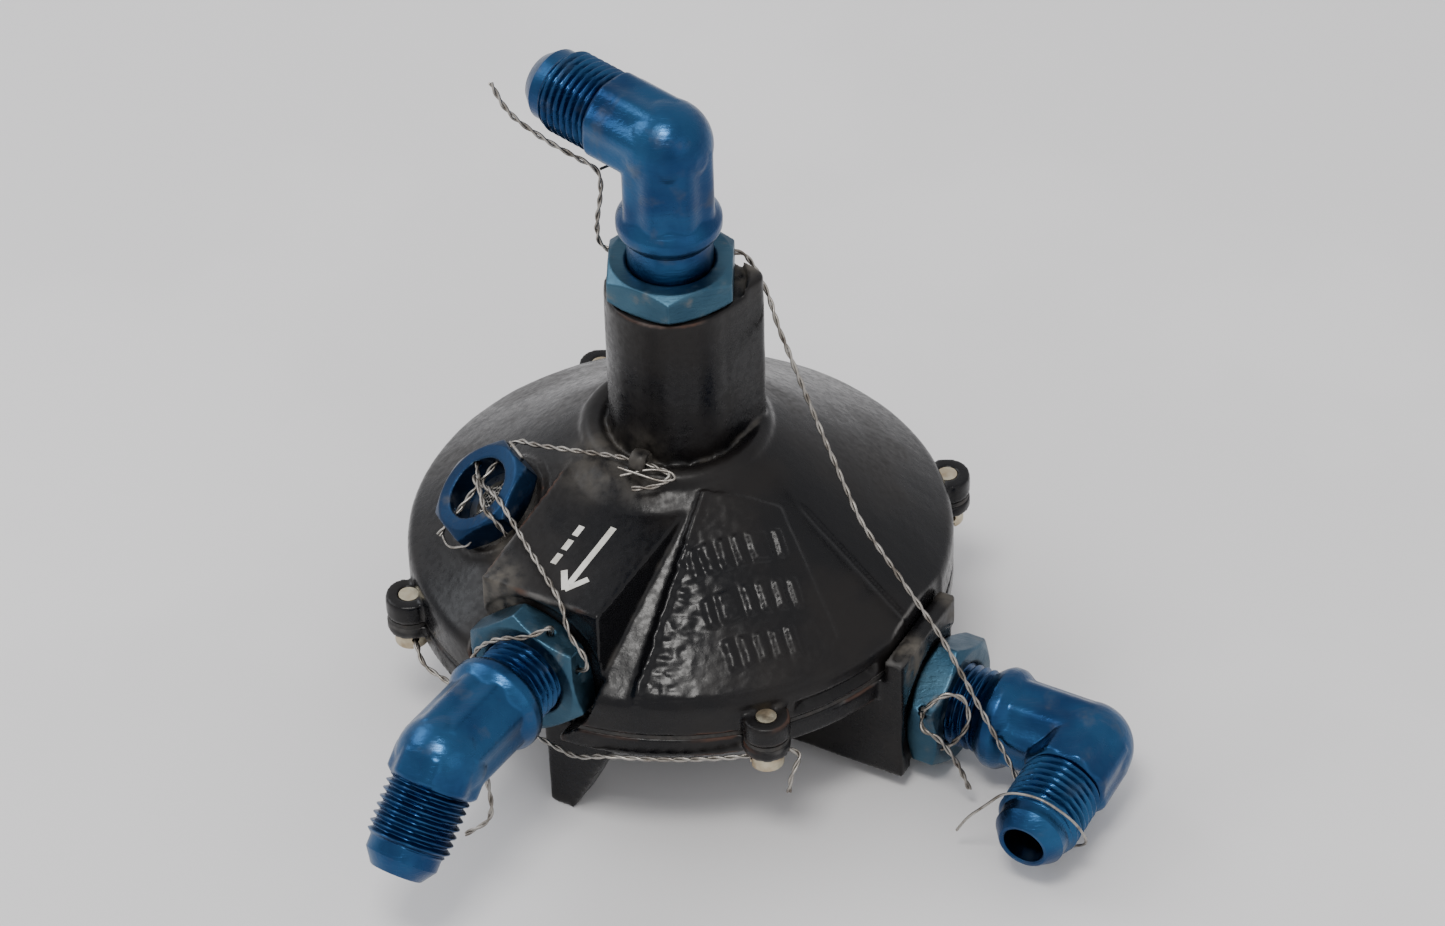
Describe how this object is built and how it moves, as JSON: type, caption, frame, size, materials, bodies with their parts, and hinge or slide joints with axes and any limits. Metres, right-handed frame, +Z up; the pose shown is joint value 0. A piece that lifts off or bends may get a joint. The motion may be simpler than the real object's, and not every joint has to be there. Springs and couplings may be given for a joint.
{
  "type": "flow control valve",
  "caption": "Diaphragm-operated air flow control valve: conical two-part housing, central tower, flared elbow fittings with jam nuts, screened vent plug, feet and lockwire.",
  "frame": {"origin": "on the tower's axis, at the level of the undersides of the three feet", "axes": "+Z up along the tower and the valve stem; +X through the tower's square corner"},
  "size_m": [0.127, 0.123, 0.1198],
  "materials": {
    "black_enamel": "cast aluminium with glossy black enamel, worn and dusty",
    "blue_anodised": "blue anodised, worn",
    "teal_anodised": "faded blue anodised, dusty",
    "plated_screw": "cadmium plated",
    "lockwire": "twisted stainless wire",
    "seal_rubber": "matte black rubber",
    "diaphragm_rubber": "fabric backed rubber",
    "backup_ring": "off-white PTFE",
    "screen_mesh": "woven wire",
    "inner_steel": "machined",
    "inner_aluminium": "machined",
    "seat_brass": "machined",
    "spring_steel": "music wire"
  },
  "bodies": {
    "valve_body": {"upper_cover": "black_enamel", "lower_housing": "black_enamel", "flange_screws": "plated_screw", "top_elbow": "blue_anodised", "front_elbow": "blue_anodised", "side_elbow": "blue_anodised", "top_jam_nut": "teal_anodised", "front_jam_nut": "teal_anodised", "side_jam_nut": "teal_anodised", "top_port_o_ring": "seal_rubber", "front_port_o_ring": "seal_rubber", "side_port_o_ring": "seal_rubber", "top_backup_ring": "backup_ring", "front_backup_ring": "backup_ring", "side_backup_ring": "backup_ring", "vent_plug": "blue_anodised", "vent_washer": "inner_steel", "vent_screen": "screen_mesh", "vent_screen_ring": "inner_steel", "main_diaphragm": "diaphragm_rubber", "valve_seat": "seat_brass", "stem_guide": "seat_brass", "stem_o_ring": "seal_rubber", "return_spring": "spring_steel", "spring_retainer": "inner_aluminium", "retaining_ring": "inner_steel", "lockwire_flange": "lockwire", "lockwire_vent": "lockwire", "lockwire_vent_to_nut": "lockwire", "lockwire_front_nut": "lockwire", "lockwire_top_nut": "lockwire", "lockwire_top_to_side": "lockwire", "lockwire_side_nut": "lockwire"},
    "valve_spool": {"valve_stem": "inner_steel", "diaphragm_plate_lower": "inner_aluminium", "diaphragm_plate_upper": "inner_aluminium", "stem_washer": "inner_steel", "stem_nut": "inner_steel", "valve_poppet": "inner_aluminium", "poppet_seal": "seal_rubber"}
  },
  "joints": [
    {"name": "valve_lift", "type": "slide", "parent": "valve_body", "child": "valve_spool", "axis": [0, 0, 1], "range_m": [0, 0.0018], "stiffness_N_per_m": 1200, "springref_m": -0.002, "deforming": ["return_spring", "main_diaphragm"]}
  ]
}
